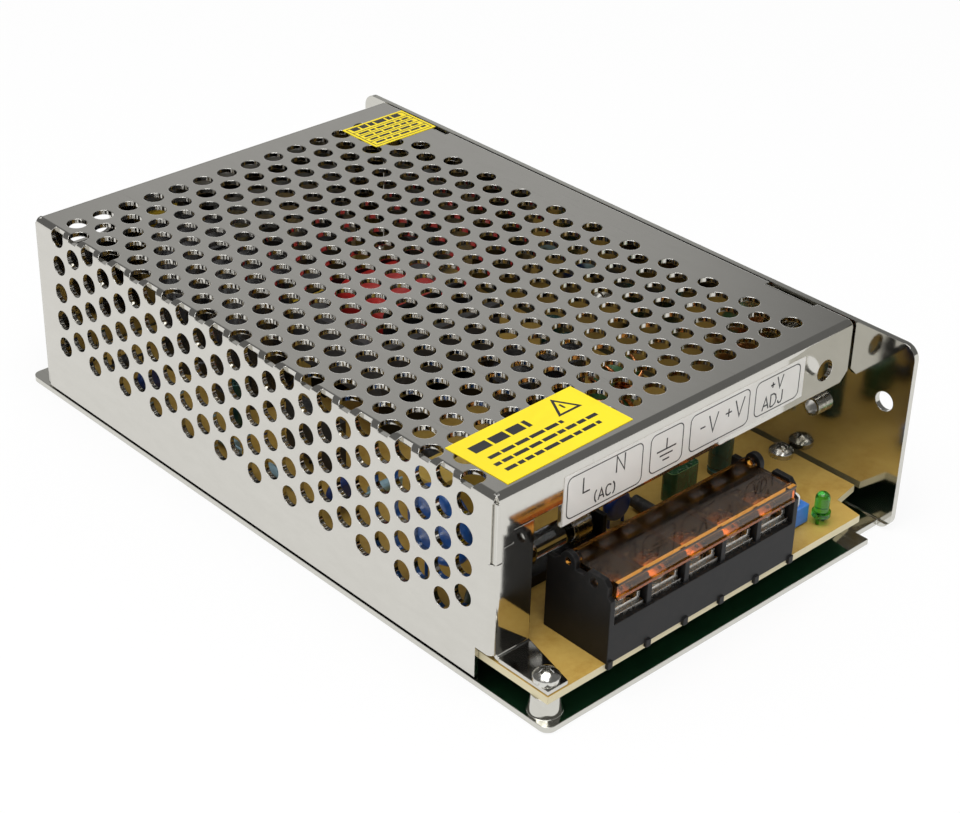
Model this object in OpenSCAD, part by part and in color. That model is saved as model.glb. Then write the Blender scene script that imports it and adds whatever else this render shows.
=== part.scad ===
// Mesh-cased switching power supply: folded perforated cover on an L-shaped chassis,
// circuit board, five-way screw terminal block with a hinged clear cover.
// +X runs right along the terminal face, -Y is the terminal face, +Z is up.

/* [Case] */
// Overall width, across the terminal face
case_w = 98; // [97.5:0.5:99]
// Overall length, terminal face to back
case_l = 162.5; // [160:0.5:164]
// Overall height
case_h = 42; // [41.5:0.5:44]
// Thickness of the chassis sheet
chassis_t = 1.2; // [1:0.1:1.4]
// Thickness of the cover sheet
cover_t = 1; // [0.8:0.1:1.1]
// Radius of the chassis wall's top corners
wall_corner_r = 3; // [2:0.5:6]
// Radius of the chassis wall's lower front corner
wall_toe_r = 3; // [1:0.5:4]

/* [Cover] */
// How far the cover's left face is set in from the case's side
cover_inset = 0.2; // [0:0.1:0.4]
// Gap between the cover's top and the chassis wall
cover_gap = 0.5; // [0.3:0.1:0.8]
// Front face of the cover
cover_front = -66.4; // [-66.6:0.1:-66.2]
// Back face of the cover
cover_back = 75; // [74.8:0.1:76]
// Height of the cover's lower edges over the floor
cover_foot_gap = 1.6; // [1.4:0.1:2]
// Bottom of the front flange, over the terminals
flange_z = 28.9; // [28.6:0.1:29.2]
// Bottom of the front flange, left of the terminals
flange_step_z = 34; // [33:0.2:35]
// Width of the folded front leg
leg_w = 9.4; // [7.8:0.2:10.8]
// Width of the open seams between folded edges
seam = 0.2; // [0.1:0.05:0.4]

/* [Perforation] */
// Diameter of the vent holes
vent_d = 4.4; // [3.6:0.1:4.8]
// Distance between holes in a row
vent_pitch = 6.5; // [6.3:0.1:6.6]
// Distance between rows
row_pitch = 5.434; // [5.3:0.01:5.45]
// Number of rows
vent_rows = 24; // [18:1:24]
// Row at the back, measured from the middle of the length
first_row_y = 66.3; // [65:0.1:66.5]

/* [Circuit board] */
// Height of the board's underside over the floor
board_z = 5.2; // [5:0.1:5.6]
// Board thickness
board_t = 1.6; // [1.2:0.1:1.8]
// Diameter of the board screw heads
board_screw_d = 5.2; // [4.8:0.1:5.4]

/* [Terminal block] */
// Number of screw terminals
terminals = 5; // [5]
// Distance between terminals
terminal_pitch = 9.95; // [9.7:0.05:10]
// Thickness of the walls between terminals
divider_t = 1.15; // [1:0.05:1.3]
// Left end of the block
block_left = -33.3; // [-33.6:0.1:-33]
// Height of the floor that the contacts lie on
contact_floor_z = 15; // [14.6:0.1:15.2]
// Top of the walls between terminals
divider_top_z = 21; // [20.6:0.1:21.1]
// Travel of a clamp plate from tight to loose
clamp_lift = 2.4; // [1:0.1:2.6]
// Diameter of the terminal screw heads
terminal_screw_d = 6.8; // [6:0.1:7]

/* [Terminal cover] */
// Hinge axis, front to back position
hinge_y = -69.2; // [-69.4:0.1:-69]
// Hinge axis height
hinge_z = 23.6; // [23.5:0.1:23.8]
// Radius of the hinge pins
hinge_pin_r = 0.7; // [0.6:0.05:0.8]
// Clearance round the hinge pins
hinge_gap = 0.05; // [0.03:0.01:0.08]
// Thickness of the clear plate
flap_t = 1; // [0.8:0.1:1.2]
// Gap between the clear cover and the block's end ears
flap_gap = 0.25; // [0.2:0.05:0.4]

/* [Mounting] */
// Spacing of the tapped holes in the floor, across the case
mount_x = 55; // [50:1:60]
// Spacing of the tapped holes in the floor, along the case
mount_y = 120; // [110:1:120]
// Radius of the tapped holes, at the thread's crest
mount_hole_r = 1.6; // [1.25:0.05:1.75]
// Spacing of the nuts along the side wall
side_nut_pitch = 60; // [50:1:60]
// Height of the side nuts
side_nut_z = 20.3; // [19:0.1:22]
// Radius of the thread in the side nuts
side_nut_r = 1.5; // [1.25:0.05:1.6]

/* [Parts on the board] */
// Diameter of the two mains capacitors
bulk_d = 18; // [16:0.5:18]
// Height of the two mains capacitors
bulk_h = 30; // [25:0.5:32]
// Diameter of the output capacitors
output_cap_d = 10; // [8:0.5:10]
// Height of the output capacitors
output_cap_h = 20; // [16:0.5:25]
// Width of the main transformer's core
core_w = 33; // [30:0.5:33]
// Length of the main transformer's core
core_l = 28; // [27:0.5:28]
// Height of the main transformer's core
core_h = 12.7; // [12:0.1:13]
// Diameter of the surge disc
varistor_d = 16; // [14:0.5:16]
// Length of the fuse
fuse_l = 20; // [20]
// Diameter of the fuse caps
fuse_d = 5.2; // [5:0.1:5.4]

/* [Hidden] */
$fn = 48;
cut = 0.5;
label_t = 0.12;

right_x = case_w / 2;
front_y = -case_l / 2;
back_y = case_l / 2;
board_top = board_z + board_t;

chassis_bend_in = 0.4;
chassis_bend_out = chassis_bend_in + chassis_t;
cover_bend_in = 0.5;
cover_bend_out = cover_bend_in + cover_t;

// Edges of the cover, and its flat parts between the folds
cover_left = cover_inset - right_x;
cover_right = right_x - chassis_t - cover_gap;
top_left = cover_left + cover_bend_out;
top_front = cover_front + cover_bend_out;
top_back = cover_back - cover_bend_out;
side_top = case_h - cover_bend_out;
corner_relief = 0.8;

// Front leg of the cover and the foot folded forward from it
leg_right = cover_left + leg_w;
tongue_right = cover_left + 2.2;
tongue_z = 28;
flange_left = cover_left + 4.6;
flange_left_z = 31.2;
flange_step_x = block_left + 0.7;
notch_y = cover_front + 4.2;
foot_bend_z = board_top + cover_bend_out;
foot_bend_y = cover_front - cover_bend_in;
foot_left = cover_left + 1.4;
foot_front = -79.4;
foot_front_right = foot_left + 4.9;
flange_hole = [right_x - 9.2, case_h - 8.3];
flange_hole_r = 2.3;
wall_hole = [front_y + 5.65, 27.8];
wall_hole_r = 2.1;
base_notch = [right_x - 8.4, right_x - chassis_bend_out, front_y + 3.1];

// Lugs folded down inside the chassis wall, and the screws that hold them
lug_y = [-51, 57];
lug_w = 12;
lug_z = case_h - 11.5;
lug_screw_z = case_h - 6.8;
lug_fold_x = cover_right - cover_bend_out;

// Vent holes: the rows on the top are filled up to the plain margin on the right
vent_margin = 9;
top_hole_x = [cover_left + 5.1, cover_left + 1.9];
top_hole_n = [for (x = top_hole_x) floor((cover_right - vent_margin - x) / vent_pitch) + 1];
side_hole_z = [case_h - 1.7, case_h - 4.7];
side_hole_n = [5, 4];
fold_cut_z = case_h - 1.1;
fold_cut_x = cover_left + 1.1;

// Circuit board outline and its four screws
board_left = cover_left + cover_t + 0.2;
board_right = right_x - chassis_t - 0.9;
board_front = -79.6;
board_back = 73.5;
board_step = [
  [board_right - 7.9, board_front], [board_right - 6.9, board_front + 6.4],
  [board_right, board_front + 7.6]
];
front_screw_at = [board_left + 2.5, board_front + 3];
plain_screws_at = [
  [board_right - 2.3, board_front + 25],
  [board_left + 5.1, board_back - 4], [board_right - 4.4, board_back - 4]
];
board_screws_at = concat([front_screw_at], plain_screws_at);
screw_r = 1.45;
screw_hole_r = 1.7;
boss_r = 2.8;
boss_foot_r = 3.3;

// Terminal block
block_l = terminals * terminal_pitch + divider_t;
block_front = -80;
block_back = -64;
cell_w = terminal_pitch - divider_t;
clamp_y = -74.6;
clamp_w = 7.6;
contact_t = 1;
clamp_z = contact_floor_z + contact_t;
clamp_t = 1;
washer_t = 0.8;
terminal_shaft_r = 1.7;
screw_end_z = contact_floor_z - 2 * clamp_lift;
rear_wall_z = 20.4;
thread_gap = 0.05;
ear_hole = [-75.6, 22.4];
ear_top_z = 24.2;
ear_notch_z = 22.6;
post_r = 1.9;

// Clear cover over the terminals
flap_left = block_left + divider_t + flap_gap;
flap_right = block_left + block_l - divider_t - flap_gap;
flap_z = hinge_z - flap_t;
flap_back = -67.1;
flap_front = -79.9;
flap_lip_z = 20.3;
flap_lip_top = hinge_z + 0.3;
flap_lip_t = 1.1;
flap_bead = 0.6;

// Fuse and its holder
fuse_at = [-19.5, -50.5, 12.3];
fuse_cap_l = 5;
holder_w = 8;

// Main transformer: horizontal ferrite core on a bobbin
transformer_at = [0, 15, 22.85];
core_leg_w = 9.7;
core_window_w = 6.85;
core_window_l = 19.4;
tube_t = 1;
winding_w = 17.8;
winding_h = 21.2;
winding_l = 17.4;
flange_t = 0.9;

// Places of the other parts on the board
varistor_at = [cover_left + 5.3, -47, 24.5];
thermistor_at = [cover_left + 6.8, -57.5, 14];
line_cap_at = [-24, -30];
line_choke_at = [-3.5, -30];
choke_coil_x = 5.3;
bridge_at = [-31, 4];
bulk_caps_at = [[-21.5, 56], [-21.5, 37]];
output_caps_at = [[1.5, -19], [15, -19]];
small_caps_at = [[30, -50.5], [31.5, -5], [34.5, 3], [-33, 27], [20, 38]];
disc_caps_at = [[0, -50], [cover_left + 8.8, 48], [33, 24], [-38, -12]];
film_caps_at = [[16, -52], [29, -37], [13, 44]];
resistors_at = [
  [8, -40, 0], [35, -40, 90], [-40, 22, 90], [-40, 5, 90],
  [26, 28, 0], [24, 42, 90], [-27, -12, 0]
];
diodes_at = [[7, -51, 90], [-37, 62, 0], [-24, 16, 0], [33, 32, 0], [-12, -10, 90]];
drive_at = [0, 46];
output_choke_at = [28, -22.5, 14.75];
output_choke_turns = 12;
chip_at = [26, 12];
chip_pins = 8;
chip_pin_pitch = 2.54;
primary_sink = [-6, 64, 30, 66.5, 34];
transistors_at = [[4, 64], [20, 64]];
output_sink = [right_x - 12, 34, right_x - 9.5, 62, 36];
rectifier_at = [output_sink[0], 48];
led_at = [31, -76];
trimmer_at = [26, -71.4];
trimmer_w = 6;
trimmer_h = 4.4;
rotor_gap = 0.05;

// A sheet lying flat, its outline drawn in X and Y
module flat_sheet(z, t) {
  translate([0, 0, z]) linear_extrude(t) children();
}

// A sheet facing the front, its outline drawn in X and Z
module front_sheet(y, t) {
  translate([0, y + t, 0]) rotate([90, 0, 0]) linear_extrude(t) children();
}

// A sheet facing the side, its outline drawn in Y and Z
module side_sheet(x, t) {
  translate([x, 0, 0]) rotate([90, 0, 90]) linear_extrude(t) children();
}

// Section of a fold, in the quarter given by the signs
module fold_section(r_in, r_out, sx, sy) {
  intersection() {
    difference() {
      circle(r_out);
      circle(r_in);
    }
    translate([min(sx, 0) * r_out, min(sy, 0) * r_out]) square(r_out);
  }
}

module cover_fold_section(sx, sy) {
  fold_section(cover_bend_in, cover_bend_out, sx, sy);
}

module fold_along_x(x0, x1, y, z, sy, sz) {
  translate([x0, y, z]) rotate([90, 0, 90]) linear_extrude(x1 - x0) cover_fold_section(sy, sz);
}

module fold_along_y(y0, y1, x, z, sx, sz) {
  translate([x, y1, z]) rotate([90, 0, 0]) linear_extrude(y1 - y0) cover_fold_section(sx, sz);
}

module fold_along_z(z0, z1, x, y, sx, sy) {
  translate([x, y, z0]) linear_extrude(z1 - z0) cover_fold_section(sx, sy);
}

// The waste outside a rounded corner at the origin, the corner pointing along the signs
module corner_waste(r, sx, sy) {
  difference() {
    translate([sx > 0 ? -r : -cut, sy > 0 ? -r : -cut]) square(r + cut);
    translate([-sx * r, -sy * r]) circle(r);
  }
}

// A rectangle with rounded corners, centred
module round_rect(w, h, r) {
  square([w - 2 * r, h], center = true);
  square([w, h - 2 * r], center = true);
  for (sx = [-1, 1], sy = [-1, 1])
    translate([sx * (w / 2 - r), sy * (h / 2 - r)]) circle(r);
}

// A box standing on z, centred in plan
module block_at(p, z, w, d, h) {
  translate([p[0] - w / 2, p[1] - d / 2, z]) cube([w, d, h]);
}

// A disc with a fully rounded rim, its axis along Z, centred
module pill(d, t) {
  rotate_extrude() intersection() {
    union() {
      translate([0, -t / 2]) square([d / 2 - t / 2, t]);
      translate([d / 2 - t / 2, 0]) circle(t / 2);
    }
    translate([0, -t]) square([d, 2 * t]);
  }
}

// A domed screw head standing on z = 0, with a cross recess
module cross_head(d, h, cross_w, cross_l, depth) {
  sphere_r = (pow(d / 2, 2) + pow(h * 0.55, 2)) / (2 * h * 0.55);
  difference() {
    intersection() {
      cylinder(h = h, d = d);
      translate([0, 0, h - sphere_r]) sphere(r = sphere_r, $fn = 64);
    }
    for (a = [0, 90])
      rotate([0, 0, a]) translate([-cross_l / 2, -cross_w / 2, h - depth]) cube([cross_l, cross_w, depth + cut]);
  }
}

// ---- Case ----

module base_outline() {
  difference() {
    translate([-right_x, front_y]) square([case_w - chassis_bend_out, case_l]);
    translate([base_notch[0], front_y - cut])
      square([base_notch[1] - base_notch[0], base_notch[2] - front_y + cut]);
    translate([-right_x, front_y]) corner_waste(2, -1, -1);
    translate([-right_x, back_y]) corner_waste(2, -1, 1);
    for (sx = [-1, 1], sy = [-1, 1])
      translate([sx * mount_x / 2, sy * mount_y / 2]) circle(mount_hole_r);
    for (p = board_screws_at) translate(p) circle(boss_foot_r - chassis_t);
  }
}

module wall_outline() {
  difference() {
    translate([front_y, chassis_bend_out]) square([case_l, case_h - chassis_bend_out]);
    translate([front_y, case_h]) corner_waste(wall_corner_r, -1, 1);
    translate([back_y, case_h]) corner_waste(wall_corner_r, 1, 1);
    translate(wall_hole) circle(wall_hole_r);
    for (i = [-1, 0, 1]) translate([i * side_nut_pitch, side_nut_z]) circle(side_nut_r + 0.5);
  }
}

// A boss pressed up from the floor, hollow below
module board_boss(p) {
  boss_h = board_z - chassis_t;
  translate([p[0], p[1], 0]) difference() {
    translate([0, 0, chassis_t]) cylinder(h = boss_h, r1 = boss_foot_r, r2 = boss_r);
    translate([0, 0, chassis_t]) cylinder(h = boss_h - chassis_t, r1 = boss_foot_r - chassis_t, r2 = boss_r - 0.9);
    cylinder(h = case_h, r = screw_r + thread_gap);
  }
}

// A collar drawn up round a tapped hole in the floor
module mount_collar(x, y) {
  translate([x, y, chassis_t]) difference() {
    cylinder(h = 1.3, r = mount_hole_r + 0.8);
    translate([0, 0, -cut]) cylinder(h = 3, r = mount_hole_r);
  }
}

module chassis() {
  color("gainsboro") difference() {
    union() {
      flat_sheet(0, chassis_t) base_outline();
      side_sheet(right_x - chassis_t, chassis_t) wall_outline();
      translate([right_x - chassis_bend_out, back_y, chassis_bend_out]) rotate([90, 0, 0])
        linear_extrude(case_l) fold_section(chassis_bend_in, chassis_bend_out, 1, -1);
      for (p = board_screws_at) board_boss(p);
      for (sx = [-1, 1], sy = [-1, 1]) mount_collar(sx * mount_x / 2, sy * mount_y / 2);
    }
    side_sheet(right_x - 2 * chassis_t, 4 * chassis_t)
      translate([front_y, 0]) corner_waste(wall_toe_r, -1, -1);
    for (y = lug_y) translate([right_x, y, lug_screw_z]) rotate([0, -90, 0])
      cylinder(h = chassis_t, r1 = 2.9, r2 = screw_hole_r);
  }
}

function row_y(row) = first_row_y - row * row_pitch;

module top_holes(row) {
  for (i = [0 : top_hole_n[row % 2] - 1])
    translate([top_hole_x[row % 2] + i * vent_pitch, row_y(row)]) circle(d = vent_d);
}

module side_holes(row) {
  for (k = [0 : side_hole_n[row % 2] - 1])
    translate([row_y(row), side_hole_z[row % 2] - k * vent_pitch]) circle(d = vent_d);
}

module cover_top() {
  flat_sheet(case_h - cover_t, cover_t) difference() {
    translate([top_left, top_front]) square([cover_right - top_left, top_back - top_front]);
    for (row = [0 : vent_rows - 1]) top_holes(row);
    for (y = lug_y) translate([lug_fold_x, y - lug_w / 2 - seam])
      square([cover_right, lug_w + 2 * seam]);
  }
}

module cover_side() {
  side_sheet(cover_left, cover_t) difference() {
    polygon([
      [cover_front + 1.1, side_top], [cover_front + 1.1, tongue_z - seam / 2],
      [top_front, tongue_z - seam / 2], [top_front, foot_bend_z],
      [notch_y, foot_bend_z], [notch_y, cover_foot_gap],
      [cover_back - cover_t - 0.1, cover_foot_gap], [cover_back - cover_t - 0.1, side_top]
    ]);
    for (row = [0 : vent_rows - 1]) side_holes(row);
  }
}

// The long fold between top and side, with the holes that run over it
module cover_side_fold() {
  difference() {
    fold_along_y(cover_front + corner_relief, cover_back - corner_relief, top_left, side_top, -1, 1);
    for (row = [1 : 2 : vent_rows - 1])
      translate([top_hole_x[1], row_y(row), fold_cut_z]) cylinder(h = 3, d = vent_d);
    for (row = [0 : 2 : vent_rows - 1])
      translate([cover_left - 2, row_y(row), side_hole_z[0]]) rotate([0, 90, 0])
        cylinder(h = fold_cut_x - cover_left + 2, d = vent_d);
  }
}

module cover_flange() {
  front_sheet(cover_front, cover_t) difference() {
    polygon([
      [cover_left + 0.4, side_top], [cover_left + 0.4, tongue_z], [tongue_right, tongue_z],
      [tongue_right, flange_left_z], [flange_left, flange_left_z], [flange_left, flange_step_z],
      [flange_step_x, flange_step_z], [flange_step_x, flange_z], [cover_right - 2.1, flange_z],
      [cover_right, flange_z + 2.1], [cover_right, side_top]
    ]);
    translate(flange_hole) circle(flange_hole_r);
  }
  fold_along_x(cover_left + corner_relief, cover_right, top_front, side_top, -1, 1);
}

// Leg returned from the side wall, under the flange, and the foot on the board
module cover_leg() {
  front_sheet(cover_front, cover_t) polygon([
    [top_left, tongue_z - seam], [tongue_right - seam, tongue_z - seam],
    [tongue_right - seam, flange_left_z - seam], [flange_left - seam, flange_left_z - seam],
    [flange_left - seam, flange_step_z - seam], [leg_right, flange_step_z - seam],
    [leg_right, foot_bend_z], [top_left, foot_bend_z]
  ]);
  fold_along_z(foot_bend_z, tongue_z - seam, top_left, top_front, -1, -1);
  fold_along_x(top_left, leg_right, foot_bend_y, foot_bend_z, 1, -1);
  flat_sheet(board_top, cover_t) difference() {
    polygon([
      [foot_left, foot_bend_y], [leg_right, foot_bend_y],
      [foot_front_right, foot_front], [foot_left, foot_front]
    ]);
    translate(front_screw_at) circle(screw_hole_r);
  }
}

module cover_back_wall() {
  front_sheet(cover_back - cover_t, cover_t) difference() {
    polygon([
      [cover_left + 0.4, side_top], [cover_left + 0.4, cover_foot_gap],
      [cover_right, cover_foot_gap], [cover_right, side_top]
    ]);
    translate([-36, 35.5]) round_rect(12, 4.6, 2.29);
  }
  fold_along_x(cover_left + corner_relief, cover_right, top_back, side_top, 1, 1);
}

module cover_lug(y) {
  fold_along_y(y - lug_w / 2, y + lug_w / 2, lug_fold_x, side_top, 1, 1);
  side_sheet(cover_right - cover_t, cover_t) difference() {
    translate([y - lug_w / 2, lug_z]) square([lug_w, side_top - lug_z]);
    translate([y, lug_screw_z]) circle(screw_r + thread_gap);
    for (s = [-1, 1]) translate([y + s * lug_w / 2, lug_z]) corner_waste(2, s, -1);
  }
}

module cover() {
  color("silver") {
    cover_top();
    cover_side();
    cover_side_fold();
    cover_flange();
    cover_leg();
    cover_back_wall();
    for (y = lug_y) cover_lug(y);
  }
}

module cover_screws() {
  color("silver") for (y = lug_y) translate([right_x, y, lug_screw_z]) rotate([0, -90, 0]) difference() {
    union() {
      cylinder(h = chassis_t, r1 = 2.85, r2 = screw_r);
      cylinder(h = 5, r = screw_r);
    }
    for (a = [0, 90]) rotate([0, 0, a]) translate([-1.3, -0.3, -cut]) cube([2.6, 0.6, cut + 0.9]);
  }
}

module side_nuts() {
  nut_l = 2.2;
  color("silver") for (i = [-1, 0, 1])
    translate([right_x - chassis_t, i * side_nut_pitch, side_nut_z]) rotate([0, -90, 0]) difference() {
      union() {
        cylinder(h = nut_l, r = side_nut_r + 0.55);
        translate([0, 0, -chassis_t + 0.2]) cylinder(h = chassis_t, r = side_nut_r + 0.5);
      }
      translate([0, 0, -chassis_t]) cylinder(h = nut_l + 2 * chassis_t, r = side_nut_r);
    }
}

module board_screw(p, seat_z) {
  translate([p[0], p[1], seat_z]) cross_head(board_screw_d, 2.4, 0.7, 2.9, 1.3);
  translate([p[0], p[1], chassis_t + 0.4]) cylinder(h = seat_z - chassis_t - 0.4, r = screw_r);
}

module board_screws() {
  color("silver") {
    board_screw(front_screw_at, board_top + cover_t);
    for (p = plain_screws_at) board_screw(p, board_top);
  }
}

module circuit_board() {
  color("#c8a050") flat_sheet(board_z, board_t) difference() {
    polygon(concat(
      [[board_left, board_front]], board_step,
      [[board_right, board_back], [board_left, board_back]]
    ));
    for (p = board_screws_at) translate(p) circle(screw_hole_r);
  }
}

// ---- Labels ----

module terminal_label() {
  left = block_left + 0.9;
  right = cover_right - 14.3;
  top = case_h - 2.6;
  color("white") front_sheet(cover_front - label_t, label_t)
    polygon([[left, top], [right, top], [right, flange_z + 1.7], [left, flange_z + 0.2]]);
}

module front_sticker() {
  color("gold") flat_sheet(case_h, label_t)
    translate([-28.5, -56.2]) rotate([0, 0, 1.4]) square([31.8, 15.6], center = true);
}

module rear_sticker() {
  color("gold") flat_sheet(case_h, label_t) translate([29.2, 55.6]) square([18, 12]);
}

// ---- Terminal block ----

function cell_x(i) = block_left + divider_t / 2 + (i + 0.5) * terminal_pitch;

module divider_outline() {
  polygon([
    [block_front + 0.4, contact_floor_z - cut], [block_front + 0.4, flap_lip_z - 0.4],
    [block_front + 1.6, flap_lip_z - 0.4], [block_front + 2.2, divider_top_z],
    [block_back - 4, divider_top_z],
    [block_back - 3.2, rear_wall_z], [block_back, rear_wall_z], [block_back, contact_floor_z - cut]
  ]);
}

// End wall: a front ear with a snap hole, a notch, and a rounded post for the hinge pin
module end_outline() {
  difference() {
    union() {
      polygon([
        [block_front, board_top], [block_front, rear_wall_z], [block_front + 0.9, rear_wall_z + 0.5],
        [block_front + 0.9, ear_top_z - 1.2], [block_front + 2, ear_top_z],
        [block_front + 5.8, ear_top_z], [block_front + 6.8, ear_notch_z],
        [hinge_y - post_r, ear_notch_z], [hinge_y - post_r, hinge_z], [hinge_y + post_r, hinge_z],
        [block_back - 1.8, ear_notch_z], [block_back, ear_notch_z], [block_back, board_top]
      ]);
      translate([hinge_y, hinge_z]) circle(post_r);
    }
    translate([hinge_y, hinge_z]) circle(hinge_pin_r + hinge_gap);
    translate(ear_hole) circle(1);
  }
}

module terminal_block() {
  color("#161616") {
    difference() {
      union() {
        translate([block_left, block_front, board_top])
          cube([block_l, block_back - block_front, contact_floor_z - board_top]);
        for (i = [1 : terminals - 1])
          side_sheet(block_left + i * terminal_pitch, divider_t) divider_outline();
        translate([block_left, block_back - 1.2, contact_floor_z - cut])
          cube([block_l, 1.2, rear_wall_z - contact_floor_z + cut]);
      }
      for (i = [0 : terminals - 1])
        translate([cell_x(i), clamp_y, screw_end_z - 1.2]) cylinder(h = 10, r = terminal_shaft_r + 0.4);
    }
    side_sheet(block_left, divider_t) end_outline();
    side_sheet(block_left + block_l - divider_t, divider_t) end_outline();
    for (i = [0 : terminals])
      block_at([block_left + 0.6 + i * (block_l - 1.2) / terminals, block_front], 5.8, 1.2, 0.7, 1.6);
  }
}

module contact_plates() {
  color("silver") for (i = [0 : terminals - 1]) difference() {
    block_at([cell_x(i), clamp_y + 1.3], contact_floor_z, cell_w - 0.4, 11.4, contact_t);
    translate([cell_x(i), clamp_y, 0]) cylinder(h = case_h, r = terminal_shaft_r + thread_gap);
  }
}

module clamp_plate(i) {
  color("silver") difference() {
    union() {
      block_at([cell_x(i), clamp_y], clamp_z, clamp_w, clamp_w, clamp_t);
      for (s = [-1, 1])
        block_at([cell_x(i) + s * (clamp_w / 2 - 0.4), clamp_y], clamp_z, 0.8, clamp_w, 1.9);
    }
    translate([cell_x(i), clamp_y, 0]) cylinder(h = case_h, r = terminal_shaft_r + 0.3);
    block_at([cell_x(i), clamp_y], clamp_z + clamp_t, terminal_screw_d + 0.3, terminal_screw_d + 0.3, 2);
  }
}

module terminal_screw(i) {
  seat_z = clamp_z + clamp_t;
  color("silver") translate([cell_x(i), clamp_y, 0]) {
    translate([0, 0, seat_z]) cylinder(h = washer_t, d = terminal_screw_d - 0.4);
    translate([0, 0, seat_z + washer_t]) cross_head(terminal_screw_d, 2, 0.9, 4.6, 1.3);
    translate([0, 0, screw_end_z]) cylinder(h = seat_z - screw_end_z, r = terminal_shaft_r);
  }
}

// Clear cover, closed: plate, front lip with a bead along each edge, two hinge lugs with pins
module terminal_cover() {
  lug_t = 1;
  flap_w = flap_right - flap_left;
  color("#b06a12", 0.6) {
    translate([flap_left, flap_front, flap_z]) cube([flap_w, flap_back - flap_front, flap_t]);
    translate([flap_left, flap_front, flap_lip_z]) cube([flap_w, flap_lip_t, flap_lip_top - flap_lip_z]);
    for (z = [flap_lip_z, flap_lip_top - flap_bead])
      translate([flap_left, flap_front - flap_bead / 2, z]) cube([flap_w, flap_bead, flap_bead]);
    for (x = [flap_left, flap_right - lug_t]) {
      translate([x, hinge_y, hinge_z]) rotate([0, 90, 0]) cylinder(h = lug_t, r = 1.2);
    }
    translate([flap_left - flap_gap - divider_t, hinge_y, hinge_z]) rotate([0, 90, 0])
      cylinder(h = divider_t + flap_gap + lug_t, r = hinge_pin_r);
    translate([flap_right - lug_t, hinge_y, hinge_z]) rotate([0, 90, 0])
      cylinder(h = divider_t + flap_gap + lug_t, r = hinge_pin_r);
  }
}

// ---- Adjuster and lamp ----

module trimmer_body() {
  color("royalblue") difference() {
    union() {
      block_at(trimmer_at, board_top + 0.4, trimmer_w, trimmer_w, trimmer_h - 0.4);
      for (s = [-1, 1]) block_at([trimmer_at[0] + s * (trimmer_w / 2 - 0.6), trimmer_at[1]], board_top, 1, 5, 1);
    }
    translate([trimmer_at[0], trimmer_at[1], board_top + 1.6]) cylinder(h = 9, r = 0.8 + rotor_gap);
  }
}

module trimmer_rotor() {
  rotor_z = board_top + trimmer_h + rotor_gap;
  color("white") translate([trimmer_at[0], trimmer_at[1], 0]) difference() {
    union() {
      translate([0, 0, rotor_z]) cylinder(h = 1.5, r = 2.3);
      translate([0, 0, board_top + 1.8]) cylinder(h = rotor_z - board_top - 1.8, r = 0.8);
    }
    for (a = [0, 90]) rotate([0, 0, a]) translate([-1.5, -0.35, rotor_z + 0.6]) cube([3, 0.7, 2]);
  }
}

module lead(x, y, z) {
  translate([x, y, board_top]) cylinder(h = z - board_top, r = 0.35);
}

module indicator_led() {
  lens_r = 1.5;
  lens_z = board_top + 1.8;
  color("limegreen") {
    translate([led_at[0], led_at[1], lens_z]) cylinder(h = 1, r = 1.9);
    translate([led_at[0], led_at[1], lens_z]) cylinder(h = 3.9, r = lens_r);
    translate([led_at[0], led_at[1], lens_z + 3.9]) sphere(r = lens_r);
    for (s = [-1, 1]) lead(led_at[0] + s * 0.9, led_at[1], lens_z + 0.2);
  }
}

// ---- Mains side ----

module along_fuse(x, length) {
  translate([fuse_at[0] + x, fuse_at[1], fuse_at[2]]) rotate([0, 90, 0])
    translate([0, 0, -length / 2]) children();
}

module fuse_holder() {
  holder_l = fuse_l + 2;
  color("#1a1a1a") {
    block_at(fuse_at, board_top, holder_l, holder_w, 2.4);
    for (s = [-1, 1])
      block_at([fuse_at[0] + s * (holder_l / 2 + 0.5), fuse_at[1]], board_top, 1, holder_w, 8);
  }
}

module fuse_clips() {
  clip_l = 3.6;
  clip_x = fuse_l / 2 - fuse_cap_l / 2;
  color("goldenrod") for (s = [-1, 1]) {
    difference() {
      along_fuse(s * clip_x, clip_l) cylinder(h = clip_l, r = fuse_d / 2 + 0.4);
      along_fuse(s * clip_x, clip_l + 2) cylinder(h = clip_l + 2, d = fuse_d);
      block_at([fuse_at[0] + s * clip_x, fuse_at[1]], fuse_at[2] + 1.6, clip_l + 1, 6, 4);
    }
    block_at([fuse_at[0] + s * clip_x, fuse_at[1]], board_top + 2.4, clip_l, 4, 0.4);
  }
}

module fuse_tube() {
  color("white", 0.5) along_fuse(0, fuse_l - 2 * fuse_cap_l)
    cylinder(h = fuse_l - 2 * fuse_cap_l, d = fuse_d - 0.4);
}

module fuse_caps() {
  color("silver") for (s = [-1, 1])
    along_fuse(s * (fuse_l - fuse_cap_l) / 2, fuse_cap_l) cylinder(h = fuse_cap_l, d = fuse_d);
}

module inrush_thermistor() {
  color("#2b3326") {
    translate(thermistor_at) rotate([90, 0, 0]) pill(9.2, 3.6);
    for (s = [-1, 1]) lead(thermistor_at[0] + s * 2.5, thermistor_at[1], thermistor_at[2] - 2);
  }
}

module varistor() {
  color("#1d4f9e") {
    translate(varistor_at) rotate([0, 90, 0]) pill(varistor_d, 4.5);
    for (s = [-1, 1]) lead(varistor_at[0], varistor_at[1] + s * 3.75, varistor_at[2] - 5);
  }
}

module line_capacitor() {
  color("#d8b13a") translate([line_cap_at[0], line_cap_at[1], board_top]) linear_extrude(15) round_rect(18, 8.5, 1);
}

module line_choke_core() {
  color("#3a3a3c") difference() {
    block_at(line_choke_at, board_top + 2.6, 15, 5, 14);
    block_at(line_choke_at, board_top + 5, 6.4, 6, 9.2);
  }
}

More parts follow.
